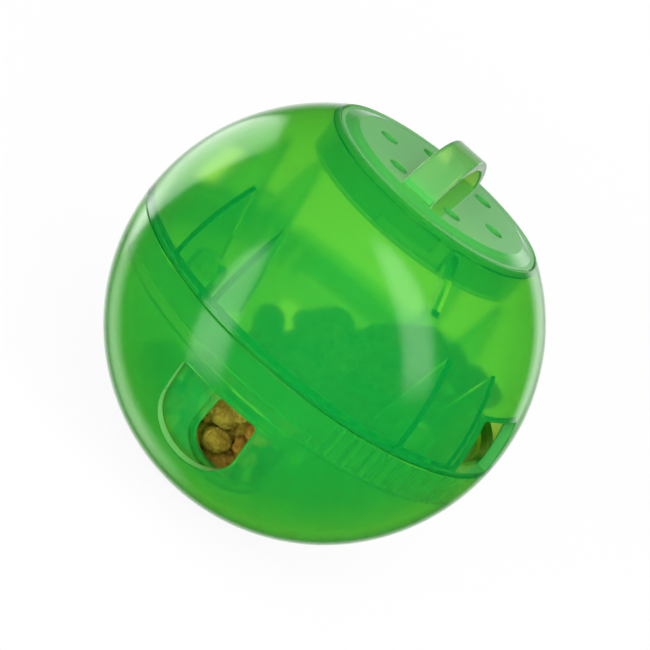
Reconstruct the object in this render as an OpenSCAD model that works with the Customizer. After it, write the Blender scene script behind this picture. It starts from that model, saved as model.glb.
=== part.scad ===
// Treat dispensing ball: a translucent ball that a cat rolls to shake dry food out of two windows.
// The axis of the ball is vertical, the windows of the lower shell face -Y and +Y, and z = 0 is the
// lowest point of the ball. The upper shell and the inner bowl turn together to set the windows.

/* [Ball] */
// Outer diameter of the ball
ball_d = 80; // [74:1:92]
// Wall of the two outer shells
shell_wall = 2.2; // [2:0.1:2.6]
// Gap between the two shells at the seam
seam_gap = 0.15; // [0.1:0.05:0.3]
// Chamfer on both edges of the seam
seam_chamfer = 0.15; // [0.1:0.05:0.4]

/* [Dispensing windows] */
// Width of a D-shaped window
window_w = 17.4; // [12:0.2:20]
// Height of a window from its straight edge to the bottom of its round end
window_h = 16.5; // [14:0.5:18]
// Depth of the straight upper edge below the seam
window_top = 9.8; // [9.6:0.1:12]
// Radius in the two upper corners of a window
window_corner_r = 0.9; // [0.4:0.1:1.5]
// Width of the step round each window of the inner bowl
window_step = 1.4; // [1:0.1:1.8]
// Depth of that step
window_step_depth = 0.9; // [0.5:0.1:1]

/* [Setting] */
// Turn of the upper shell and the inner bowl from the fully open setting, in degrees
setting_turn = 12; // [0:6:48]

/* [Spigot and click comb] */
// Wall of the spigot ring under the upper shell
spigot_wall = 1.6; // [1.2:0.1:1.8]
// Depth of the plain stretches of the spigot below the seam
spigot_depth = 5.3; // [4:0.1:5.8]
// Depth of the comb's teeth below the seam
tooth_depth = 6.9; // [6.4:0.1:7.2]
// Depth of the ring of material above the comb's slots
slot_top = 1.1; // [0.8:0.1:2]
// Teeth in one stretch of the comb
comb_teeth = 11; // [5:2:11]
// Direction of the middle of a stretch from the middle of the bowl's window, in degrees
comb_turn = 45; // [44:0.5:46]
// Angle from one tooth of the comb to the next, in degrees
tooth_pitch = 6; // [5:0.5:6.5]
// Angle that one tooth covers, in degrees
tooth_angle = 3.2; // [2.6:0.1:3.6]
// Radial clearance of the spigot in its seat
spigot_clearance = 0.06; // [0.03:0.01:0.1]
// Gap between the teeth and the floor of the seat
tooth_floor_gap = 0.4; // [0.35:0.05:0.5]
// Height of the click nub on the floor of the seat
nub_h = 0.3; // [0.15:0.05:0.3]
// Radius of the click nub
nub_r = 0.7; // [0.5:0.1:0.9]

/* [Inner bowl] */
// Wall of the inner bowl
bowl_wall = 1.8; // [1.4:0.1:2]
// Gap between the inner bowl and the lower shell
bowl_gap = 0.3; // [0.25:0.05:0.4]
// Wall of the bowl's upright neck
neck_wall = 1.6; // [1.2:0.1:1.8]
// Gap between the neck and the spigot
neck_gap = 0.24; // [0.15:0.01:0.3]
// Depth of the neck's upper edge below the seam
neck_top = 0.6; // [0.5:0.1:1.5]
// Direction of a driving lug from the middle of the nearest window of the bowl, in degrees
lug_turn = 41; // [40:0.5:41.5]
// Width of a driving lug
lug_w = 6.6; // [5:0.1:6.8]
// Height of a driving lug above the seam
lug_h = 5.2; // [4:0.1:8]
// Thickness of a driving lug
lug_t = 2.5; // [2:0.1:3]
// Radius of a lug's upper corners
lug_corner_r = 1.5; // [0.5:0.1:2]
// Step of a lug's outer face behind the neck's
lug_relief = 0.1; // [0.05:0.05:0.2]
// Rim left round the hollow in a lug's inner face
lug_rim = 1.5; // [1.2:0.1:2]
// Depth of the hollow in a lug's inner face
lug_hollow = 0.9; // [0.5:0.1:1.2]

/* [Upper shell] */
// Height of a fin above the seam
fin_h = 18; // [12:0.5:20]
// Reach of a fin from the wall into the ball at the seam
fin_reach = 9; // [6:0.5:10]
// Thickness of a fin
fin_t = 1.2; // [1:0.1:1.4]
// Angle between the nearer fin and the middle of its lug, in degrees
fin_angle = 7.2; // [7.1:0.1:7.6]
// Play that the farther fin leaves at the other side of the lug, in degrees
fin_play = 4.6; // [0:0.1:4.8]
// Width of a side window
side_window_w = 13; // [10:0.5:14]
// Height of a side window
side_window_h = 10.6; // [8:0.2:12]
// Height of a side window's lower edge above the seam
side_window_sill = 1.1; // [1:0.1:2]
// Radius in the corners of a side window
side_window_r = 0.6; // [0.3:0.1:1]
// Turn of a side window from the window of the bowl, in degrees
side_window_turn = 64.5; // [63:0.5:67]

/* [Cap] */
// Diameter of the cap
cap_d = 44; // [40:0.5:46]
// Gap round the cap
cap_gap = 0.12; // [0.08:0.01:0.2]
// Flat land of the shell round the cap
mouth_land = 0.25; // [0.2:0.05:0.5]
// Thickness of the cap's flange
flange_t = 1.6; // [1.4:0.1:1.8]
// Rise of the cap's flat middle above its rim
crown_rise = 0.8; // [0.4:0.1:1.2]
// Radius of the flat middle
crown_r = 18.4; // [17.6:0.2:19.2]
// Thickness of the flat middle
crown_t = 1.8; // [1.4:0.1:2]
// Depth of the collar's lower end below the rim
collar_depth = 7.5; // [7:0.1:8.5]
// Wall of the collar
collar_wall = 1.6; // [1.4:0.1:1.8]
// Width of the ledge that the flange rests on
ledge_w = 1.8; // [1.6:0.1:2]
// Radial clearance between the cap's plug and the collar
plug_clearance = 0.08; // [0.05:0.01:0.1]
// Wall of the cap's plug
plug_wall = 1.5; // [1.2:0.1:1.8]
// Angle that a locking tab covers, in degrees
tab_angle = 8; // [6:0.5:9]
// Height of a locking tab
tab_h = 1.6; // [1.2:0.1:2]
// Clearance of a locking tab in its slot
tab_gap = 0.2; // [0.15:0.05:0.3]
// Turn of the cap from locked to free, in degrees
cap_turn = 28; // [20:1:28]
// Direction of the locked handle from the middle of the bowl's window, in degrees
cap_lock = -11; // [-14:1:-10]
// Direction of the rib under the collar from the middle of the bowl's window, in degrees
rib_turn = 22.5; // [22:0.5:24]
// Width of that rib
rib_w = 1.5; // [1.2:0.1:1.8]
// Depth of that rib below the wall
rib_depth = 2.2; // [1.5:0.1:2.4]
// Height of that rib's lower end above the seam
rib_foot = 22; // [20:0.5:24]

/* [Handle and vents] */
// Width of the bridge handle
handle_w = 6.5; // [5:0.1:8]
// Thickness of the bridge handle
handle_t = 2; // [1.6:0.1:2.4]
// Length of the bridge handle between its two feet
handle_len = 33; // [30:0.5:34]
// Height of the handle's crest above the rim of the cap
handle_rise = 8.5; // [6:0.1:10]
// Radius on the handle's long edges
handle_edge_r = 0.5; // [0.3:0.1:0.7]
// Vent holes in the cap
vent_count = 6; // [6:6:6]
// Diameter of a vent hole
vent_d = 3.7; // [2:0.1:4]
// Radius of the ring of vent holes
vent_ring_r = 12.5; // [11:0.1:13]

/* [Kibble] */
// Diameter of a piece of kibble
kibble_d = 6.6; // [5:0.1:6.8]
// Thickness of a piece of kibble
kibble_t = 5.8; // [5:0.1:6]
// Chamfer on the edges of a piece
kibble_chamfer = 1.5; // [1.2:0.1:1.6]
// Least gap between two pieces
kibble_gap = 0.2; // [0.2:0.05:1]
// Height of the heap's top over the middle of the ball, along the heap's own upright
heap_level = 6.6; // [0:0.1:8]
// Slope of the heap's sides, in degrees
heap_slope = 17; // [0:1:25]
// Lean of the heap's upright from the axis of the ball, in degrees
heap_lean = 43; // [30:1:46]
// Direction of that lean from the middle of the lower shell's window, in degrees
heap_turn = -101; // [-110:1:-90]

/* [Hidden] */
$fn = 96;

// Overrun of cuts past a face
over = 1;

ball_r = ball_d / 2;
shell_in_r = ball_r - shell_wall;

// The seat in the lower shell and the spigot in it
seat_r = shell_in_r;
seat_depth = tooth_depth + tooth_floor_gap;
seat_floor_r = sqrt(pow(shell_in_r, 2) - pow(seat_depth, 2));
spigot_out_r = seat_r - spigot_clearance;
spigot_in_r = spigot_out_r - spigot_wall;
comb_half = (comb_teeth - 1) * tooth_pitch / 2;
slot_angle = tooth_pitch - tooth_angle;
lug_turns = [lug_turn, 180 - lug_turn, 180 + lug_turn, -lug_turn];

// The click nub lies in the last slot of the comb when the windows are fully open
nub_turn = comb_turn + comb_half - tooth_pitch / 2;

// The inner bowl
bowl_out_r = shell_in_r - bowl_gap;
bowl_in_r = bowl_out_r - bowl_wall;
neck_out_r = spigot_in_r - neck_gap;
neck_in_r = neck_out_r - neck_wall;
bowl_top = seat_depth + 2 * bowl_gap;
neck_foot = bowl_top + neck_wall;

// Fins keep this far above the seam
fin_foot = 1.5 * seam_gap;

// The side windows are cut from just inside the wall, so that the fins stay whole
side_window_start = 0.85 * ball_r;

// The mouth of the upper shell and the cap in it
cap_r = cap_d / 2;
mouth_r = cap_r + cap_gap;
rim_z = sqrt(pow(ball_r, 2) - pow(mouth_r + mouth_land, 2));
ledge_z = rim_z - flange_t - cap_gap;
collar_in_r = mouth_r - ledge_w;
collar_out_r = collar_in_r + collar_wall;
collar_foot = rim_z - collar_depth;
plug_r = collar_in_r - plug_clearance;
crown_z = rim_z + crown_rise;
plug_foot = collar_foot + 2 * tab_gap;
tab_z = plug_foot + tab_gap;
tab_r = collar_out_r - tab_gap;
tab_gap_angle = atan(tab_gap / collar_in_r);

// The handle is an arc through its crest and its feet on the flat middle of the cap
handle_crest = rim_z + handle_rise;
arc_rise = handle_crest - crown_z;
arc_r = (pow(handle_len / 2, 2) + pow(arc_rise, 2)) / (2 * arc_rise);
arc_z = handle_crest - arc_r;

// One piece of kibble fits in a ball of this radius
kibble_ball_r = max(norm([kibble_d / 2, kibble_t / 2 - kibble_chamfer]),
                    norm([kibble_d / 2 - kibble_chamfer, kibble_t / 2]));
kibble_pitch = 2 * kibble_ball_r + kibble_gap;

// Moves a piece that is drawn round the middle of the ball up to where the ball stands on z = 0
module on_floor() {
    translate([0, 0, ball_r]) children();
}

// Turns a piece about the axis, from -Y towards +X
module facing(angle) {
    rotate([0, 0, angle]) children();
}

// Everything above a height
module above(z) {
    translate([-ball_r - over, -ball_r - over, z]) cube([2 * (ball_r + over), 2 * (ball_r + over), 2 * ball_r]);
}

// Everything below a height
module below(z) {
    translate([0, 0, z]) mirror([0, 0, 1]) translate([0, 0, -z]) above(z);
}

// Outline of a window, straight above and round below, drawn in by an inset all round
module window_outline(inset) {
    round_r = window_w / 2 - inset;
    top = -window_top - inset;
    middle = -window_top - window_h + window_w / 2;
    translate([0, middle]) intersection() {
        circle(r = round_r);
        translate([-round_r, -round_r]) square([2 * round_r, round_r]);
    }
    translate([-round_r, middle]) square([2 * round_r, top - window_corner_r - middle]);
    translate([-round_r + window_corner_r, top - window_corner_r])
        square([2 * (round_r - window_corner_r), window_corner_r]);
    for (side = [-1, 1])
        translate([side * (round_r - window_corner_r), top - window_corner_r])
            circle(r = window_corner_r);
}

// Outline of a rectangle with round corners that stands on the x axis
module soft_rectangle(width, height, r) {
    translate([-width / 2 + r, 0]) square([width - 2 * r, height]);
    translate([-width / 2, r]) square([width, height - 2 * r]);
    for (x = [-width / 2 + r, width / 2 - r])
        for (y = [r, height - r])
            translate([x, y]) circle(r = r);
}

// Pushes an outline out through the wall at -Y, from a distance in front of the axis, with the
// outline's y axis upright
module through_wall(start) {
    rotate([90, 0, 0]) translate([0, 0, start]) linear_extrude(ball_r + over - start) children();
}

// The two windows, half a turn apart
module windows(inset) {
    for (turn = [0, 180])
        facing(turn) through_wall(ball_r / 2) window_outline(inset);
}

// A ring of wall with a rectangular section, over part of a turn
module ring_sector(in_r, out_r, low, high, from, angle) {
    facing(from - 90) rotate_extrude(angle = angle)
        translate([in_r, low]) square([out_r - in_r, high - low]);
}

// A full ring of wall
module ring(in_r, out_r, low, high) {
    rotate_extrude() translate([in_r, low]) square([out_r - in_r, high - low]);
}

// The bevel that both shells have along the seam, drawn for the upper one
module seam_bevel() {
    rotate_extrude()
        polygon([[ball_r - seam_chamfer, 0],
                 [ball_r + over, 0],
                 [ball_r + over, seam_gap / 2 + seam_chamfer + over],
                 [ball_r - seam_chamfer, seam_gap / 2]]);
}

// Outer half ball with its seat for the spigot, its two windows and its click nubs
module lower_shell() {
    color([0.16, 0.68, 0.2, 0.6]) on_floor() {
        difference() {
            sphere(r = ball_r);
            sphere(r = shell_in_r);
            above(-seam_gap / 2);
            ring(0, seat_r, -seat_depth, over);
            mirror([0, 0, 1]) seam_bevel();
            windows(0);
        }
        for (turn = [0, 180])
            facing(nub_turn + turn)
                translate([0, -seat_floor_r, -seat_depth + nub_h - nub_r]) rotate([90, 0, 0])
                    cylinder(r = nub_r, h = seat_r + shell_wall / 4 - seat_floor_r);
    }
}

// One driving lug, which stands on the neck between two fins
module lug() {
    root = neck_top + lug_t;
    lug_in_r = neck_out_r - lug_t;
    difference() {
        intersection() {
            ring(lug_in_r, neck_out_r - lug_relief, -root, lug_h);
            translate([0, 0, -root]) through_wall(ball_r / 2) soft_rectangle(lug_w, root + lug_h, lug_corner_r);
        }
        intersection() {
            ring(lug_in_r - over, lug_in_r + lug_hollow, lug_rim, lug_h - lug_rim);
            translate([0, 0, lug_rim]) through_wall(ball_r / 2)
                translate([-lug_w / 2 + lug_rim, 0]) square([lug_w - 2 * lug_rim, lug_h - 2 * lug_rim]);
        }
    }
}

// Inner bowl that turns in the lower shell and opens or covers its windows
module inner_bowl() {
    color([0.2, 0.72, 0.22, 0.6]) on_floor() facing(setting_turn) {
        difference() {
            union() {
                difference() {
                    sphere(r = bowl_out_r);
                    above(-bowl_top);
                }
                ring(0, neck_out_r, -neck_foot, -neck_top);
            }
            difference() {
                sphere(r = bowl_in_r);
                above(-neck_foot);
            }
            ring(0, neck_in_r, -neck_foot - bowl_gap / 2, over);
            windows(window_step);
            difference() {
                windows(0);
                sphere(r = bowl_out_r - window_step_depth);
            }
        }
        for (turn = lug_turns)
            facing(turn) lug();
    }
}

// One fin: a gusset between the wall and a slanted straight edge
module fin() {
    fin_in_r = shell_in_r - fin_reach;
    top_r = sqrt(pow(shell_in_r, 2) - pow(fin_h, 2));
    intersection() {
        sphere(r = ball_r - shell_wall / 2);
        rotate([90, 0, -90]) translate([0, 0, -fin_t / 2]) linear_extrude(fin_t)
            polygon([[fin_in_r, fin_foot], [ball_r, fin_foot], [ball_r, fin_h], [top_r, fin_h]]);
    }
}

// The spigot ring with its root inside the wall, as deep as the comb's teeth
module spigot() {
    root_r = ball_r - shell_wall / 2;
    rotate_extrude()
        polygon([[spigot_in_r, -tooth_depth],
                 [spigot_out_r, -tooth_depth],
                 [spigot_out_r, seam_gap / 2],
                 [root_r, seam_gap / 2],
                 [root_r, spigot_wall + shell_wall / 2],
                 [spigot_in_r, seam_gap]]);
}

// What is cut from half of the spigot to leave one stretch of the click comb: the slots between the
// teeth and the shallower space beside them
module comb_slots() {
    comb_end = comb_half + tooth_angle / 2;
    for (i = [0 : comb_teeth - 2])
        ring_sector(spigot_in_r - over, spigot_out_r + over, -tooth_depth - over, -slot_top,
                    -comb_end + tooth_angle + i * tooth_pitch, slot_angle);
    ring_sector(spigot_in_r - over, spigot_out_r + over, -tooth_depth - over, -spigot_depth,
                comb_end, 180 - 2 * comb_end);
}

// Slot that lets a locking tab in from above and along under the ledge
module lock_slot() {
    half = tab_angle / 2 + tab_gap_angle;
    way_in = tab_angle / 2 + tab_gap_angle / 2;
    slot_low = tab_z - tab_gap;
    slot_high = tab_z + tab_h + tab_gap;
    ring_sector(collar_in_r - 2 * over, collar_out_r + tab_gap / 2, slot_low, slot_high,
                cap_lock - half, cap_turn + 2 * half);
    ring_sector(collar_in_r - over, collar_out_r + tab_gap / 4, slot_low + tab_h / 2, rim_z,
                cap_lock + cap_turn - way_in, 2 * way_in);
}

// Rib that stiffens the wall below the collar
module neck_rib() {
    intersection() {
        difference() {
            sphere(r = ball_r - shell_wall / 2);
            sphere(r = shell_in_r - rib_depth);
            below(rib_foot);
            ring(0, collar_out_r - collar_wall / 2, 0, ball_r);
            above(ledge_z - shell_wall / 2);
        }
        translate([-rib_w / 2, -ball_r, 0]) cube([rib_w, ball_r, ball_r]);
    }
}

// Outer half ball above the seam, with spigot, click comb, fins, side windows, mouth and collar
module upper_shell() {
    color([0.2, 0.74, 0.24, 0.6]) on_floor() facing(setting_turn)
        difference() {
            union() {
                difference() {
                    sphere(r = ball_r);
                    sphere(r = shell_in_r);
                    below(seam_gap / 2);
                    above(rim_z);
                    seam_bevel();
                }
                spigot();
                for (turn = lug_turns)
                    for (angle = [-fin_angle, fin_angle + fin_play])
                        facing(turn + angle) fin();
                ring(collar_in_r - over, collar_out_r, collar_foot, ledge_z + over);
                for (turn = [0, 180])
                    facing(rib_turn + turn) neck_rib();
            }
            ring(0, mouth_r, ledge_z, ball_r);
            ring(0, collar_in_r, collar_foot - over, ball_r);
            for (turn = [0, 180]) {
                facing(comb_turn + turn) comb_slots();
                facing(turn) lock_slot();
                facing(side_window_turn + turn) translate([0, 0, side_window_sill])
                    through_wall(side_window_start) soft_rectangle(side_window_w, side_window_h, side_window_r);
            }
        }
}

// The bridge handle: a strip bent along an arc, cut off inside the flat middle of the cap
module handle() {
    difference() {
        rotate([0, 90, 0]) rotate_extrude()
            translate([arc_r - handle_t, -handle_w / 2]) {
                translate([handle_edge_r, 0]) square([handle_t - 2 * handle_edge_r, handle_w]);
                translate([0, handle_edge_r]) square([handle_t, handle_w - 2 * handle_edge_r]);
                for (x = [handle_edge_r, handle_t - handle_edge_r])
                    for (y = [handle_edge_r, handle_w - handle_edge_r])
                        translate([x, y]) circle(r = handle_edge_r);
            }
        translate([0, 0, -arc_z]) below(crown_z - crown_t / 2);
    }
}

// Cap with its raised flat middle, plug, locking tabs, vents and bridge handle
module handle_cap() {
    color([0.26, 0.78, 0.26, 0.6]) on_floor() facing(setting_turn + cap_lock)
        difference() {
            union() {
                rotate_extrude()
                    polygon([[0, crown_z],
                             [crown_r, crown_z],
                             [cap_r - mouth_land - flange_t / 2, rim_z],
                             [cap_r - mouth_land, rim_z],
                             [cap_r, rim_z - mouth_land],
                             [cap_r, ledge_z + cap_gap],
                             [plug_r, ledge_z + cap_gap],
                             [plug_r, plug_foot],
                             [plug_r - plug_wall, plug_foot],
                             [plug_r - plug_wall, crown_z - crown_t],
                             [0, crown_z - crown_t]]);
                for (turn = [0, 180])
                    ring_sector(plug_r - plug_wall / 2, tab_r, tab_z, tab_z + tab_h,
                                turn - tab_angle / 2, tab_angle);
                translate([0, 0, arc_z]) handle();
            }
            for (i = [0 : vent_count - 1])
                facing((i + 0.5) * 360 / vent_count)
                    translate([0, -vent_ring_r, crown_z - crown_t - over])
                        cylinder(d = vent_d, h = crown_t + 2 * over);
        }
}

// One piece of kibble: a short pellet with bevelled edges
module pellet() {
    rotate_extrude()
        polygon([[0, -kibble_t / 2],
                 [kibble_d / 2 - kibble_chamfer, -kibble_t / 2],
                 [kibble_d / 2, -kibble_t / 2 + kibble_chamfer],
                 [kibble_d / 2, kibble_t / 2 - kibble_chamfer],
                 [kibble_d / 2 - kibble_chamfer, kibble_t / 2],
                 [0, kibble_t / 2]]);
}

// A direction at an angle from -Y towards +X and an angle above the seam
function direction(turn, lift) = [sin(turn) * cos(lift), -cos(turn) * cos(lift), sin(lift)];

// Angle of a place from -Y towards +X
function turn_of(p) = atan2(p[0], -p[1]);

// Distance of a place from the axis of the ball
function off_axis(p) = norm([p[0], p[1]]);

// The heap's own upright and how far a place lies below its surface, a cone about that upright
heap_up = direction(heap_turn, 90 - heap_lean);
function below_heap(p) = let (rise = p * heap_up)
    heap_level - tan(heap_slope) * norm(p - rise * heap_up) - rise;

// Kibble touches the bowl below the neck and stays inside the neck and the lugs above it
touch_r = bowl_in_r - bowl_gap - kibble_ball_r;
inside_neck_r = neck_out_r - lug_t - bowl_gap - kibble_ball_r;
function clear_of_neck(p) = norm(p) <= touch_r
    && (p[2] < -neck_foot - kibble_ball_r || off_axis(p) <= inside_neck_r);

// Kibble stays out of the columns over the fins, so that the upper shell lifts straight off
fin_clear = (shell_in_r * sin(fin_angle + fin_play) + fin_t / 2) + kibble_ball_r + kibble_gap;
function clear_of_fins(p) = p[2] < -kibble_ball_r - kibble_gap
    || off_axis(p) < shell_in_r - fin_reach - kibble_ball_r - kibble_gap
    || min([for (turn = lug_turns) let (a = turn_of(p) - setting_turn - turn)
        cos(a) > 0 ? abs(sin(a)) * off_axis(p) : ball_d]) > fin_clear;

// Kibble stays behind the windows, where the way out is
function clear_of_windows(p) = let (a = turn_of(p) - setting_turn / 2)
    abs(sin(a)) * off_axis(p) > window_w / 2 + kibble_ball_r
    || p[2] > -window_top + kibble_ball_r
    || p[2] < -window_top - window_h
    || norm(p) < bowl_in_r - 2 * bowl_wall - kibble_ball_r;

// The places of a list that lie in the heap
function heaped(places) = [for (p = places)
    if (below_heap(p) > kibble_ball_r && clear_of_neck(p) && clear_of_fins(p) && clear_of_windows(p)) p];

// A list with those places of a second list that are at least a pitch away from all of its own
function joined(places, more) =
    concat(places, [for (p = more) if (min([for (q = places) norm(p - q)]) >= kibble_pitch) p]);

// The layer against the bowl: places spread evenly over a ball by the golden angle, a pitch apart
golden_angle = 137.50776;
golden_spacing_share = 3.09;
layer_count = round(pow(golden_spacing_share * touch_r / kibble_pitch, 2));
bowl_places = [for (i = [0 : layer_count - 1])
    let (z = 1 - (2 * i + 1) / layer_count, a = i * golden_angle)
        touch_r * [sqrt(1 - z * z) * cos(a), sqrt(1 - z * z) * sin(a), z]];

// The rings against the neck, each half a piece on from the one below
row_share = sqrt(3) / 2;
row_count = ceil(ball_r / kibble_pitch);
ring_count = floor(180 / asin(kibble_pitch / 2 / inside_neck_r));
neck_places = [for (row = [-row_count : row_count]) for (i = [1 : ring_count])
    let (a = (i + row / 2) * 360 / ring_count)
        [inside_neck_r * sin(a), -inside_neck_r * cos(a), row * row_share * kibble_pitch]];

// The close-packed pieces inside, in rows that lean away from the heap's upright
pack_turn = 24;
pack_lean = 29;
row_along = direction(pack_turn, pack_lean);
row_across = direction(pack_turn + 90, 0);
row_over = cross(row_along, row_across);
layer_share = sqrt(2 / 3);
inner_places = [for (k = [-row_count : row_count])
    for (j = [-row_count - 2 : row_count + 2])
        for (i = [-2 * row_count : 2 * row_count])
            kibble_pitch * (row_along * (i + (j + k) / 2)
                            + row_across * row_share * (j + k / 3)
                            + row_over * layer_share * k)];

// Loose kibble in the bowl
module kibble() {
    places = joined(joined(heaped(bowl_places), heaped(neck_places)), heaped(inner_places));
    turns = rands(0, 360, 2 * len(places), 7);
    color([0.62, 0.48, 0.16]) on_floor()
        for (i = [0 : len(places) - 1])
            translate(places[i]) rotate([turns[2 * i], turns[2 * i + 1], 0]) pellet();
}

lower_shell();
inner_bowl();
upper_shell();
handle_cap();
kibble();
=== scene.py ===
"""Treat dispensing ball: green see-through shells round a bowl of dry food, on a pale floor.

Lengths are in metres, in the frame of the CAD: the origin is the ball's lowest point, Z its axis
towards the handle, and the front window faces -Y.
"""
import math
import bpy
import numpy as np
from mathutils import Matrix


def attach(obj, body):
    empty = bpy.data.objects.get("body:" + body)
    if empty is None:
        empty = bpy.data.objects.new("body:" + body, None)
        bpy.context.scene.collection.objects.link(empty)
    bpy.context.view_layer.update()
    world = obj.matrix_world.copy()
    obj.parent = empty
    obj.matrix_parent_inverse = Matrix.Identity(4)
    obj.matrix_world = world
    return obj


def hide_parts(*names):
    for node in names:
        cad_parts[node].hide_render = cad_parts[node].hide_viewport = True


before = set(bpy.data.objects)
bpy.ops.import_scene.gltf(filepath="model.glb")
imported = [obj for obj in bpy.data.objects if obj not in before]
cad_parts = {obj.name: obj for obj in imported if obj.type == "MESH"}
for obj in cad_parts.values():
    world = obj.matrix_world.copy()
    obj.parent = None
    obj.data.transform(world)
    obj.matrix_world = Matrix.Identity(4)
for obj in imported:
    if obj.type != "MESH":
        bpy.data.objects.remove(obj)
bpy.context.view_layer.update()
scene = bpy.context.scene
scene.view_settings.view_transform = "Standard"

BALL_R = 0.04
MIDDLE = np.array([0.0, 0.0, BALL_R])


# ---------------------------------------------------------------- camera

# Where the photograph was taken from: degrees to the right of the front window, degrees above the
# seam, and the degrees that the ball's axis leans to the right in the picture, all fitted to the
# seam, the cap's rim and the outline
TO_THE_RIGHT, ABOVE_THE_SEAM, LEAN = 9.0, 17.594, -39.93
# Distance in ball radii, lens and sensor in millimetres, and how far the picture is shifted
DISTANCE = 14.1
LENS, SENSOR = 172.58, 36.0
SHIFT = (0.0006, -0.0018)


def camera_axes(azimuth, elevation, roll):
    """Right, up and back of a camera: back points from the ball to it, and roll turns right and
    up about back."""
    a, e, r = np.radians([azimuth, elevation, roll])
    back = np.array([math.sin(a) * math.cos(e), -math.cos(a) * math.cos(e), math.sin(e)])
    level = np.array([math.cos(a), math.sin(a), 0.0])
    above = np.cross(back, level)
    right = level * math.cos(r) - above * math.sin(r)
    up = level * math.sin(r) + above * math.cos(r)
    return right, up, back


RIGHT, UP, BACK = camera_axes(TO_THE_RIGHT, ABOVE_THE_SEAM, LEAN)


def facing_the_ball(distance):
    """The matrix of a camera or lamp that looks at the ball's middle along the photograph's line
    of sight."""
    columns = np.column_stack([RIGHT, UP, BACK, MIDDLE + BACK * distance])
    return Matrix([*columns.tolist(), [0, 0, 0, 1]])


def photo_camera():
    """The photograph's camera, leaned so that the ball's axis points to the upper right."""
    data = bpy.data.cameras.new("photo_camera")
    data.sensor_width = SENSOR
    data.lens = LENS
    data.shift_x, data.shift_y = SHIFT
    data.clip_start = 0.01
    data.clip_end = 20.0
    camera = bpy.data.objects.new("photo_camera", data)
    camera.matrix_world = facing_the_ball(DISTANCE * BALL_R)
    scene.collection.objects.link(camera)
    scene.camera = camera


photo_camera()


# ---------------------------------------------------------------- materials

class Nodes:
    """The nodes of a material or of the world, with short calls that add and join them."""

    def __init__(self, owner):
        owner.use_nodes = True
        self.tree = owner.node_tree

    def add(self, kind, **settings):
        """A new node with its settings."""
        node = self.tree.nodes.new(kind)
        for key, value in settings.items():
            setattr(node, key, value)
        return node

    def give(self, socket, value):
        """Links an output to a socket, or sets the socket to a number or colour."""
        if isinstance(value, bpy.types.NodeSocket):
            self.tree.links.new(value, socket)
        else:
            socket.default_value = value

    def fill(self, node, **values):
        """Gives each value to the node's socket of its name, where _ stands for a space."""
        for key, value in values.items():
            self.give(node.inputs[key.replace("_", " ")], value)

    def math(self, operation, *values):
        """One sum of outputs and numbers."""
        node = self.add("ShaderNodeMath", operation=operation)
        for socket, value in zip(node.inputs, values):
            self.give(socket, value)
        return node.outputs[0]

    def within(self, value, low, high):
        """1 where a value lies between low and high, else 0."""
        return self.math("COMPARE", value, (low + high) / 2, (high - low) / 2)

    def span(self, value, low, high, start=0.0, end=1.0):
        """Runs from low to high while a value runs from start to end, and stays there past it."""
        spread = self.add("ShaderNodeMapRange")
        self.fill(spread, Value=value, From_Min=start, From_Max=end, To_Min=low, To_Max=high)
        return spread.outputs["Result"]

    def length(self, vector):
        """Length of a vector."""
        length = self.add("ShaderNodeVectorMath", operation="LENGTH")
        self.give(length.inputs[0], vector)
        return length.outputs["Value"]

    def seen_directly(self):
        """1 for rays from the camera, straight or through clear plastic, 0 for gloss and for
        light on things."""
        path = self.add("ShaderNodeLightPath").outputs
        return self.math("MAXIMUM", path["Is Camera Ray"], path["Is Transmission Ray"])

    def mixed(self, share, first, second):
        """The first surface, with a share of the second."""
        mix = self.add("ShaderNodeMixShader")
        for socket, value in zip(mix.inputs, (share, first.outputs[0], second.outputs[0])):
            self.give(socket, value)
        return mix

    def end_in(self, **parts):
        """Ends in the surface, and in the volume if there is one."""
        for part, node in parts.items():
            self.give(self.tree.nodes["Material Output"].inputs[part], node.outputs[0])


class Shader(Nodes):
    """A material with a Principled surface, and short calls for the patterns that feed it."""

    def __init__(self, name):
        self.material = bpy.data.materials.new(name)
        super().__init__(self.material)
        self.surface = self.tree.nodes["Principled BSDF"]
        self.place = self.add("ShaderNodeTexCoord").outputs["Object"]

    def moved(self, **values):
        """Object coordinates moved and drawn out by a Mapping node."""
        mapping = self.add("ShaderNodeMapping")
        self.fill(mapping, Vector=self.place, **values)
        return mapping.outputs["Vector"]

    def height(self):
        """Height above the ball's lowest point."""
        parts = self.add("ShaderNodeSeparateXYZ")
        self.give(parts.inputs[0], self.place)
        return parts.outputs["Z"]

    def far_from(self, middle, scale):
        """Distance from a point, with each direction counted by its scale."""
        return self.length(self.moved(Location=[-m for m in middle], Scale=scale))

    def noise(self, scale, detail, roughness, stretch=None):
        """Cloudy noise, drawn out along the axes whose stretch is below 1."""
        texture = self.add("ShaderNodeTexNoise")
        place = self.moved(Scale=stretch) if stretch else self.place
        self.fill(texture, Vector=place, Scale=scale, Detail=detail, Roughness=roughness)
        return texture.outputs["Fac"]

    def ramp(self, value, stops):
        """A run of colours, each with the value at which it stands."""
        ramp = self.add("ShaderNodeValToRGB")
        steps = ramp.color_ramp.elements
        while len(steps) < len(stops):
            steps.new(0.5)
        for step, (place, colour) in zip(steps, stops):
            step.position = place
            step.color = (*colour, 1.0)
        self.fill(ramp, Fac=value)
        return ramp.outputs["Color"]

    def tinted(self, colour, share, tint):
        """A colour with a share of a tint."""
        mix = self.add("ShaderNodeMix", data_type="RGBA")
        self.fill(mix, Factor=share, A=colour, B=(*tint, 1.0))
        return mix.outputs["Result"]

    def bump(self, height, strength, distance, below=None):
        """The normal that a relief gives, over another one if there is one below."""
        bump = self.add("ShaderNodeBump")
        self.fill(bump, Height=height, Strength=strength, Distance=distance)
        if below:
            self.fill(bump, Normal=below)
        return bump.outputs["Normal"]


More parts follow.
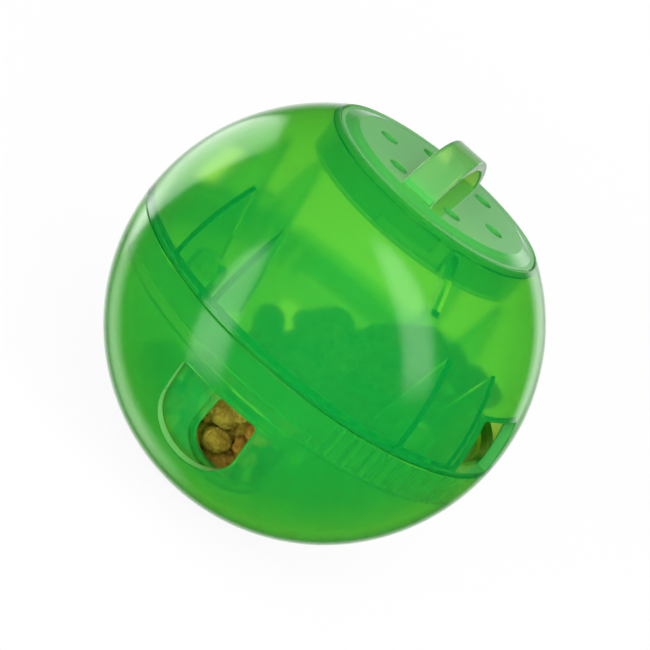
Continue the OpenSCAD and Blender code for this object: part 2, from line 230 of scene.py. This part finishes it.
# Inside of the shells' and the spigot's wall, as distances from the ball's middle and its axis,
# and heights of the comb, of the seat round the seam, of the side windows and of the step at
# which the cap's plate becomes the handle
IN_SHELL_WALL = (0.03795, 0.03985)
IN_SPIGOT_WALL = (0.03622, 0.03766)
COMB = (0.0328, 0.0395)
SEAT = (0.0326, 0.0405)
SIDE_WINDOWS = (0.0405, 0.07)
HANDLE_FOOT = (0.0742, 0.076)
# Share of the pale haze painted on the walls of the windows and the mouth as a glint, and what the
# side windows lose of it
WINDOW_WALL_GLINT = 0.7
SIDE_WALL_GLINT_LESS = 0.45

PLASTIC_IOR = 1.46
DYE_DENSITY = 880.0


def painted_glint_on_cut_walls(shader):
    """0.7 on the walls of the dispensing windows and of the mouth and 0.25 on those of the side
    windows, which lie inside the shell's wall but not near the seam, and 1 on those of the click
    comb, inside the spigot's wall. There the haze is painted paler and thicker: a painted glint on
    the cut walls."""
    height = shader.height()
    in_shell = shader.within(shader.far_from(MIDDLE, (1, 1, 1)), *IN_SHELL_WALL)
    in_spigot = shader.within(shader.far_from((0, 0, 0), (1, 1, 0)), *IN_SPIGOT_WALL)
    comb = shader.math("MULTIPLY", in_spigot, shader.within(height, *COMB))
    off_seat = shader.math("SUBTRACT", WINDOW_WALL_GLINT, shader.within(height, *SEAT))
    at_sides = shader.math("MULTIPLY", shader.within(height, *SIDE_WINDOWS), SIDE_WALL_GLINT_LESS)
    share = shader.math("MAXIMUM", shader.math("SUBTRACT", off_seat, at_sides), 0.0)
    return shader.math("MAXIMUM", shader.math("MULTIPLY", in_shell, share), comb)


def handle(shader):
    """0 on the cap up to its plate, rising to 1 on the handle, whose haze is thinner and painted
    darker: a painted shade.
    """
    return shader.span(shader.height(), 0.0, 1.0, *HANDLE_FOOT)


def green_plastic(name, haze, pale, deep, dye_colour,
                  painted_light_mask=None, painted_light_haze=0.0, painted_light_colour=None):
    """Moulded green plastic, clear but milky: clear plastic with a green dye inside, mixed with a
    share of haze whose colour varies a little with the flow, under a faint ripple and fine wear.
    Where the given mask says 1, the haze has another share and colour, which paints light on the
    part: a paler glint on the shell's cut walls, a darker shade on the cap's handle."""
    shader = Shader(name)
    shader.fill(shader.surface, Base_Color=(1.0, 1.0, 1.0, 1.0), Transmission_Weight=1.0)
    milk = shader.add("ShaderNodeBsdfPrincipled")
    scuffs = shader.noise(scale=900.0, detail=4.0, roughness=0.6)
    wear = shader.span(scuffs, 0.10, 0.13)
    waves = shader.noise(scale=55.0, detail=1.0, roughness=0.4)
    ripple = shader.bump(waves, strength=0.12, distance=0.0004)
    for surface in (shader.surface, milk):
        shader.fill(surface, IOR=PLASTIC_IOR, Roughness=wear, Normal=ripple)
    flow = shader.noise(scale=28.0, detail=2.0, roughness=0.5, stretch=(1.0, 1.0, 0.45))
    milk_colour = shader.ramp(flow, [(0.35, deep), (0.65, pale)])
    if painted_light_mask:
        where = painted_light_mask(shader)
        haze = shader.span(where, haze, painted_light_haze)
        milk_colour = shader.tinted(milk_colour, where, painted_light_colour)
    shader.fill(milk, Base_Color=milk_colour)
    dye = shader.add("ShaderNodeVolumeAbsorption")
    shader.fill(dye, Color=(*dye_colour, 1.0), Density=DYE_DENSITY)
    shader.end_in(Surface=shader.mixed(haze, shader.surface, milk), Volume=dye)
    return shader.material


def kibble_crumb():
    """Baked dry food: brown to orange from piece to piece, with toasted patches, crumbs and pores.
    The lumps at the windows are painted paler: painted light for the light that the walls keep
    off them."""
    shader = Shader("kibble_crumb")
    tone_and_painted_light = shader.add("ShaderNodeAttribute", attribute_name="tone_and_painted_light").outputs["Fac"]
    # Tones from 0.6 up are the paler colours of the lumps at the windows: painted light.
    base = shader.ramp(tone_and_painted_light, [(0.0, (0.24, 0.16, 0.03)), (0.25, (0.29, 0.23, 0.04)),
                              (0.5, (0.30, 0.18, 0.03)), (0.6, (0.74, 0.50, 0.06)),
                              (0.8, (0.86, 0.74, 0.09)), (1.0, (0.88, 0.44, 0.06))])
    patches = shader.noise(scale=800.0, detail=6.0, roughness=0.75)
    toast = shader.ramp(patches, [(0.36, (0.45, 0.34, 0.26)), (0.58, (1.0, 1.0, 1.0))])
    toasted = shader.add("ShaderNodeMix", data_type="RGBA", blend_type="MULTIPLY")
    shader.fill(toasted, Factor=0.85, A=base, B=toast)
    grain = shader.noise(scale=800.0, detail=7.0, roughness=0.8)
    crumbs = shader.bump(grain, strength=1.0, distance=0.0022)
    pores = shader.add("ShaderNodeTexVoronoi")
    shader.fill(pores, Vector=shader.place, Scale=1500.0)
    relief = shader.bump(pores.outputs["Distance"], strength=0.5, distance=0.0004, below=crumbs)
    shader.fill(shader.surface, Base_Color=toasted.outputs["Result"], Normal=relief,
                Roughness=0.78, Specular_IOR_Level=0.2)
    return shader.material


# The shell's cut walls and the comb take a paler, thicker haze: a painted glint.
SHELL_GREEN = green_plastic("green_shell", haze=0.20, pale=(0.0, 0.70, 0.09),
                            deep=(0.0, 0.64, 0.08), dye_colour=(0.70, 0.925, 0.02),
                            painted_light_mask=painted_glint_on_cut_walls, painted_light_haze=0.85, painted_light_colour=(0.45, 0.95, 0.32))
BOWL_GREEN = green_plastic("green_bowl", haze=0.22, pale=(0.0, 0.84, 0.12),
                           deep=(0.0, 0.79, 0.11), dye_colour=(0.84, 0.945, 0.02))
# The cap's handle takes a thinner haze of a darker colour: a painted shade.
CAP_GREEN = green_plastic("green_cap", haze=0.48, pale=(0.12, 0.70, 0.14),
                          deep=(0.09, 0.66, 0.11), dye_colour=(0.72, 0.925, 0.02),
                          painted_light_mask=handle, painted_light_haze=0.42, painted_light_colour=(0.17, 0.52, 0.17))
KIBBLE = kibble_crumb()
for node, finish in {"lower_shell": SHELL_GREEN, "upper_shell": SHELL_GREEN,
                     "inner_bowl": BOWL_GREEN, "handle_cap": CAP_GREEN}.items():
    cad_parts[node].material_slots[0].material = finish


# ---------------------------------------------------------------- kibble

# Radius of a whole lump, and share of it that one at a window has
LUMP_R = 0.0034
WINDOW_SHARE = 0.92
# A lump is a ball drawn out along one axis, with five broad and five finer waves, whose measures
# are the share of the radius that a wave adds and the waves' rate
DRAWN_OUT = (1.1, 1.0, 1.0)
WAVES = 5
BROAD, BROAD_RATE = 0.036, 2.3
FINE, FINER = 0.022, 3.1
# Rows and columns of faces on a lump at a window, in the heap and on a broken bit
WINDOW_FACES, HEAP_FACES, BIT_FACES = (24, 40), (10, 16), (16, 24)
# The two ends between which a lump's tone is drawn; those at the windows are painted paler, as
# painted light
WINDOW_PAINTED_LIGHT_TONES, HEAP_TONES = (0.6, 1.0), (0.0, 0.5)

# The spacing that lumps settle to, and the distance from the middle of those that rest on the
# bowl, which ends at a height of 47.9 mm
SPACING = 0.0071
ON_BOWL = 0.0315
BOWL_TOP = 0.0479

# Half the width of the space behind a window, how far it lies below the middle, and how far out
WINDOW_ASIDE = 0.012
WINDOW_BELOW = 0.007
WINDOW_OUT = 0.012

# Broken bits: the grid that their middles lie on, how far to the sides and how high they go, the
# reach within which four lumps must lie, the least room for one, the core of a lump that a bit
# stays clear of, the largest bit's share of a lump, and how far out past the lumps a bit may stand
GRID = 0.001
BITS_ASIDE = (-0.003, 0.009)
BITS_TOP = 0.028
NEAR, NEIGHBOURS = 0.0075, 4
LEAST_ROOM = 0.0039
CORE = 0.0025
LARGEST_BIT = 0.75
BIT_GAP = 0.0012


def solid_middles(node):
    """Middles of a CAD node's separate solids: corners that share a place are one, joined along
    the triangles."""
    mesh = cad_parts[node].data
    corners = np.empty(len(mesh.vertices) * 3)
    mesh.vertices.foreach_get("co", corners)
    faces = np.empty(len(mesh.loop_triangles) * 3, int)
    mesh.loop_triangles.foreach_get("vertices", faces)
    places, same = np.unique(np.round(corners.reshape(-1, 3), 7), axis=0, return_inverse=True)
    faces = same.ravel()[faces].reshape(-1, 3)
    group = np.arange(len(places))
    while True:
        least = group[faces].min(axis=1)
        new = group.copy()
        np.minimum.at(new, faces.ravel(), np.repeat(least, 3))
        new = new[new]
        if (new == group).all():
            break
        group = new
    low = [places[group == g].min(axis=0) for g in np.unique(group)]
    high = [places[group == g].max(axis=0) for g in np.unique(group)]
    return (np.array(low) + np.array(high)) / 2


def settled(middles):
    """Lumps moved towards their nearest neighbour until it is one spacing away, but for those
    that rest on the bowl."""
    apart = np.linalg.norm(middles[:, None] - middles[None], axis=2) + np.eye(len(middles))
    nearest = apart.argmin(axis=1)
    away = apart.min(axis=1)
    inside = np.linalg.norm(middles - MIDDLE, axis=1) < ON_BOWL
    free = inside | (middles[:, 2] > BOWL_TOP)
    step = np.clip(away - SPACING, 0, None) / away * free
    return middles + (middles[nearest] - middles) * step[:, None]


def at_windows(places):
    """Which places lie behind the front or back window."""
    x, y, z = (places - MIDDLE).T
    return (np.abs(x) < WINDOW_ASIDE) & (z < -WINDOW_BELOW) & (np.abs(y) > WINDOW_OUT)


def ball_grid(rows, columns):
    """Directions on a ball: one at each pole and rows of columns between them, with the faces
    that join them. A direction is (sin a cos b, sin a sin b, cos a)."""
    tilt = np.pi * np.arange(1, rows) / rows
    turn = 2 * np.pi * np.arange(columns) / columns
    ring = np.stack([np.outer(np.sin(tilt), np.cos(turn)), np.outer(np.sin(tilt), np.sin(turn)),
                     np.outer(np.cos(tilt), np.ones(columns))], axis=-1).reshape(-1, 3)
    points = np.vstack([[0, 0, 1], ring, [0, 0, -1]])
    here = np.arange(columns)
    beside = (here + 1) % columns
    top = np.stack([np.zeros(columns, int), 1 + here, 1 + beside], axis=1)
    start = 1 + columns * np.arange(rows - 2)[:, None]
    here_low, beside_low = start + columns + here, start + columns + beside
    sides = np.concatenate(
        [np.stack([start + here, here_low, beside_low], axis=-1).reshape(-1, 3),
         np.stack([start + here, beside_low, start + beside], axis=-1).reshape(-1, 3)])
    last = 1 + columns * (rows - 2)
    bottom = np.stack([np.full(columns, last + columns), last + beside, last + here], axis=1)
    return points, np.vstack([top, sides, bottom])


def broken_bits(middles):
    """Middles and shares of size of the broken bits that fill the gaps between the lumps at the
    windows: places on a 1 mm grid with four or more lumps near, taken in order of their room. The
    farthest lumps touch the bowl, so a bit may lie as far out as they do plus the difference of
    their sizes."""
    low, high = middles.min(axis=0), middles.max(axis=0)
    lines = (np.arange(a, b, GRID) for a, b in zip(low, high))
    grid = np.stack(np.meshgrid(*lines, indexing="ij"), -1).reshape(-1, 3)
    reach = np.linalg.norm(middles - MIDDLE, axis=1).max()
    grid = grid[np.linalg.norm(grid - MIDDLE, axis=1) < reach + BIT_GAP]
    aside = -np.sign(grid[:, 1]) * grid[:, 0]
    grid = grid[at_windows(grid) & (aside > BITS_ASIDE[0]) & (aside < BITS_ASIDE[1])
                & (grid[:, 2] < BITS_TOP)]
    squares = (grid ** 2).sum(axis=1)[:, None] + (middles ** 2).sum(axis=1)
    apart = np.sqrt(squares - 2 * grid @ middles.T)
    chosen = ((apart < NEAR).sum(axis=1) >= NEIGHBOURS) & (apart.min(axis=1) > LEAST_ROOM)
    places, room = grid[chosen], apart[chosen].min(axis=1)
    bits, shares = [], []
    while len(room) and room.max() > LEAST_ROOM:
        best = room.argmax()
        share = min((room[best] - CORE) / LUMP_R, LARGEST_BIT)
        bits.append(places[best])
        shares.append(share)
        from_bit = np.linalg.norm(places - places[best], axis=1) + CORE - share * LUMP_R
        room = np.minimum(room, from_bit)
    return np.array(bits), np.array(shares)


def random_turns(random, count):
    """Rotation matrices of random quaternions."""
    quarter = random.normal(size=(count, 4))
    w, x, y, z = (quarter / np.linalg.norm(quarter, axis=1)[:, None]).T
    rows = [1 - 2 * (y * y + z * z), 2 * (x * y - z * w), 2 * (x * z + y * w),
            2 * (x * y + z * w), 1 - 2 * (x * x + z * z), 2 * (y * z - x * w),
            2 * (x * z - y * w), 2 * (y * z + x * w), 1 - 2 * (x * x + y * y)]
    return np.stack(rows, axis=1).reshape(-1, 3, 3)


def kibble_lumps(name, middles, sizes, rows, columns, tones, seed):
    """Lumps of dry food: each is a ball of radius 3.4 mm times its size times one plus ten waves
    of its direction, drawn out to 1.1 along one axis, cut softly flat on two sides by a tanh,
    turned at random and set on its middle. Its tone is drawn between the two tones."""
    random = np.random.default_rng(seed)
    count = len(middles)
    points, faces = ball_grid(rows, columns)
    waves = random.normal(0, BROAD_RATE, (count, WAVES, 3))
    phase = random.uniform(0, 2 * np.pi, (count, WAVES))
    broad = np.einsum("pk,cwk->cwp", points, waves) + phase[:, :, None]
    fine = np.einsum("pk,cwk->cwp", points, waves * FINER) + 2 * phase[:, :, None]
    swell = BROAD * np.sin(broad).sum(axis=1) + FINE * np.sin(fine).sum(axis=1)
    lumps = points[None] * (LUMP_R * (1 + swell))[:, :, None] * DRAWN_OUT
    lumps[:, :, 2] = LUMP_R * np.tanh(lumps[:, :, 2] / LUMP_R)
    lumps *= sizes[:, None, None]
    lumps = np.einsum("cij,cpj->cpi", random_turns(random, count), lumps) + middles[:, None]
    every = (faces[None] + len(points) * np.arange(count)[:, None, None]).reshape(-1, 3)
    mesh = bpy.data.meshes.new(name)
    mesh.from_pydata(lumps.reshape(-1, 3).tolist(), [], every.tolist())
    mesh.shade_smooth()
    tone_and_painted_light = mesh.attributes.new("tone_and_painted_light", "FLOAT", "POINT")
    tone_and_painted_light.data.foreach_set("value", np.repeat(random.uniform(*tones, count), len(points)))
    piece = bpy.data.objects.new(name, mesh)
    scene.collection.objects.link(piece)
    mesh.materials.append(KIBBLE)
    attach(piece, "dial")
    return piece


middles = settled(solid_middles("kibble"))
seen = at_windows(middles)
sizes = np.where(seen, WINDOW_SHARE, 1.0)
# Lumps and bits at the windows take the paler tones: painted light.
window_lumps = kibble_lumps("kibble_at_windows", middles[seen], sizes[seen],
                            *WINDOW_FACES, WINDOW_PAINTED_LIGHT_TONES, seed=5)
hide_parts("kibble")
heap = kibble_lumps("kibble_heap", middles[~seen], sizes[~seen], *HEAP_FACES, HEAP_TONES, seed=6)
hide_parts("kibble")
bits, shares = broken_bits(middles)
kibble_lumps("bits_at_windows", bits, shares, *BIT_FACES, WINDOW_PAINTED_LIGHT_TONES, seed=7)


# ---------------------------------------------------------------- floor, backdrop and lamps

# The floor's radius, sides and height, and the distances from the middle between which its share
# of plain white grows
FLOOR_R, FLOOR_SIDES, FLOOR_Z = 2.2, 96, -0.0002
WHITE_FROM, WHITE_TO = 0.15, 0.6
WHITE_SHARES = (0.92, 1.0)
# The world's light on things, and what gloss sees of it behind the ball and elsewhere: behind is
# where a direction's part along BEHIND passes from the first number to the second
WORLD_LIGHT = 0.55
GLOSS_BEHIND, GLOSS_ELSEWHERE = 0.95, 0.05
BEHIND = 0.05 * UP - BACK
EDGE_OF_BEHIND = (0.98, 0.88)
# Rows and columns of points on a softbox, and the front lamp's distance from the ball's middle
ALONG, ACROSS = 25, 13
FILL_DISTANCE = 1.2


def pale_floor():
    """A round floor at the ball's lowest point, white where it is seen, that keeps the ball's
    shadow. Its share of plain white grows from 0.92 at 0.15 m to 1 at 0.6 m from the middle, so
    that it has no edge against the world."""
    turn = 2 * np.pi * np.arange(FLOOR_SIDES) / FLOOR_SIDES
    rim = np.stack([FLOOR_R * np.cos(turn), FLOOR_R * np.sin(turn),
                    np.full(FLOOR_SIDES, FLOOR_Z)], axis=1)
    mesh = bpy.data.meshes.new("floor")
    mesh.from_pydata(rim.tolist(), [], [list(range(FLOOR_SIDES))])
    shader = Shader("floor_white")
    shader.fill(shader.surface, Base_Color=(0.86, 0.86, 0.86, 1.0), Roughness=0.9,
                Specular_IOR_Level=0.0)
    glow = shader.add("ShaderNodeEmission")
    shader.fill(glow, Color=(1.0, 1.0, 1.0, 1.0))
    white = shader.span(shader.length(shader.place), *WHITE_SHARES, WHITE_FROM, WHITE_TO)
    white = shader.math("MULTIPLY", shader.seen_directly(), white)
    shader.end_in(Surface=shader.mixed(white, shader.surface, glow))
    mesh.materials.append(shader.material)
    floor = bpy.data.objects.new("floor", mesh)
    floor.visible_glossy = False
    scene.collection.objects.link(floor)


def white_surroundings():
    """White world where it is seen directly and a plain light of 0.55 on everything. Gloss sees
    it pale behind the ball, a little more above it, and almost black elsewhere, where the
    photograph shows only the lamps."""
    world = bpy.data.worlds.new("studio")
    scene.world = world
    nodes = Nodes(world)
    seen = nodes.seen_directly()
    is_gloss = nodes.add("ShaderNodeLightPath").outputs["Is Glossy Ray"]
    gloss = nodes.math("MAXIMUM", nodes.math("SUBTRACT", is_gloss, seen), 0.0)
    towards = nodes.add("ShaderNodeVectorMath", operation="DOT_PRODUCT")
    nodes.give(towards.inputs[0], nodes.add("ShaderNodeTexCoord").outputs["Generated"])
    nodes.give(towards.inputs[1], BEHIND)
    dimmed = nodes.span(towards.outputs["Value"], WORLD_LIGHT - GLOSS_BEHIND,
                        WORLD_LIGHT - GLOSS_ELSEWHERE, *EDGE_OF_BEHIND)
    level = nodes.math("MULTIPLY", seen, 1.0 - WORLD_LIGHT)
    level = nodes.math("ADD", level, WORLD_LIGHT)
    level = nodes.math("SUBTRACT", level, nodes.math("MULTIPLY", gloss, dimmed))
    nodes.fill(nodes.tree.nodes["Background"], Color=(1.0, 1.0, 1.0, 1.0), Strength=level)


def softbox(name, directions, widths, brightness, edge=4, distance=0.9):
    """A curved soft lamp that faces the ball, through three directions given along the camera's
    right, up and back, with its width at each. Its light is its brightness, where 1 is white,
    times 1 less t to the power edge across it, t from -1 to 1, fades over the first and last sixth
    of its length and adds to the light behind it. The camera and rays through clear plastic do not
    see it."""
    along = np.linspace(0, 1, ALONG)
    across = np.linspace(-1, 1, ACROSS)
    bend = np.stack([(1 - along) * (1 - 2 * along), 4 * along * (1 - along),
                     along * (2 * along - 1)], axis=1)
    spine = bend @ (np.array(directions) @ np.array([RIGHT, UP, BACK]))
    spine = spine / np.linalg.norm(spine, axis=1)[:, None]
    side = np.cross(np.gradient(spine, axis=0), spine)
    side = side / np.linalg.norm(side, axis=1)[:, None]
    half = (bend @ np.array(widths) / 2)[:, None] * across
    points = MIDDLE + distance * spine[:, None] + half[:, :, None] * side[:, None]
    fade = np.clip(6 * np.minimum(along, 1 - along), 0, 1)
    light = brightness * np.outer(fade, 1 - np.abs(across) ** edge)
    corner = ACROSS * np.arange(ALONG - 1)[:, None] + np.arange(ACROSS - 1)
    faces = corner.reshape(-1, 1) + [0, 1, ACROSS + 1, ACROSS]
    mesh = bpy.data.meshes.new(name)
    mesh.from_pydata(points.reshape(-1, 3).tolist(), [], faces.tolist())
    mesh.attributes.new("light", "FLOAT", "POINT").data.foreach_set("value", light.ravel())
    material = bpy.data.materials.new(name)
    nodes = Nodes(material)
    level = nodes.add("ShaderNodeAttribute", attribute_name="light").outputs["Fac"]
    glow = nodes.add("ShaderNodeEmission")
    nodes.fill(glow, Strength=level)
    both = nodes.add("ShaderNodeAddShader")
    nodes.give(both.inputs[0], glow.outputs[0])
    nodes.give(both.inputs[1], nodes.add("ShaderNodeBsdfTransparent").outputs[0])
    nodes.end_in(Surface=both)
    mesh.materials.append(material)
    lamp = bpy.data.objects.new(name, mesh)
    lamp.visible_camera = False
    lamp.visible_transmission = False
    scene.collection.objects.link(lamp)


def front_fill():
    """A large weak lamp behind the camera that lights the food in the window and leaves no
    reflection."""
    data = bpy.data.lights.new("front_fill", "AREA")
    data.shape = "SQUARE"
    data.size = 1.0
    data.energy = 24.0
    lamp = bpy.data.objects.new("front_fill", data)
    lamp.matrix_world = facing_the_ball(FILL_DISTANCE)
    lamp.visible_glossy = False
    lamp.visible_transmission = False
    scene.collection.objects.link(lamp)


pale_floor()
white_surroundings()
front_fill()
softbox("left_strip", [(-0.41, 0.66, 0.63), (-0.75, 0.19, 0.63), (-0.86, -0.41, 0.31)],
        widths=[0.10, 0.34, 0.36], brightness=3.4)
softbox("right_strip", [(0.34, 0.70, 0.63), (0.69, 0.12, 0.72), (0.65, -0.60, 0.46)],
        widths=[0.08, 0.30, 0.26], brightness=3.4)
softbox("left_rim", [(-0.50, 0.55, -0.66), (-0.66, 0.05, -0.75), (-0.46, -0.56, -0.69)],
        widths=[0.3, 0.5, 0.5], brightness=1.0, edge=1.5, distance=1.1)
softbox("right_rim", [(0.50, 0.50, -0.71), (0.56, 0.06, -0.83), (0.50, -0.40, -0.77)],
        widths=[0.3, 0.5, 0.2], brightness=1.5, edge=1.5, distance=1.1)
softbox("cap_light", [(0.20, 0.58, -0.79), (0.37, 0.44, -0.82), (0.54, 0.27, -0.80)],
        widths=[0.3, 0.4, 0.3], brightness=0.4, edge=6, distance=1.1)
softbox("crescent", [(-0.26, 0.93, -0.26), (-0.42, 0.66, -0.62), (-0.37, 0.25, -0.90)],
        widths=[0.02, 0.74, 0.5], brightness=2.0, edge=12, distance=1.1)
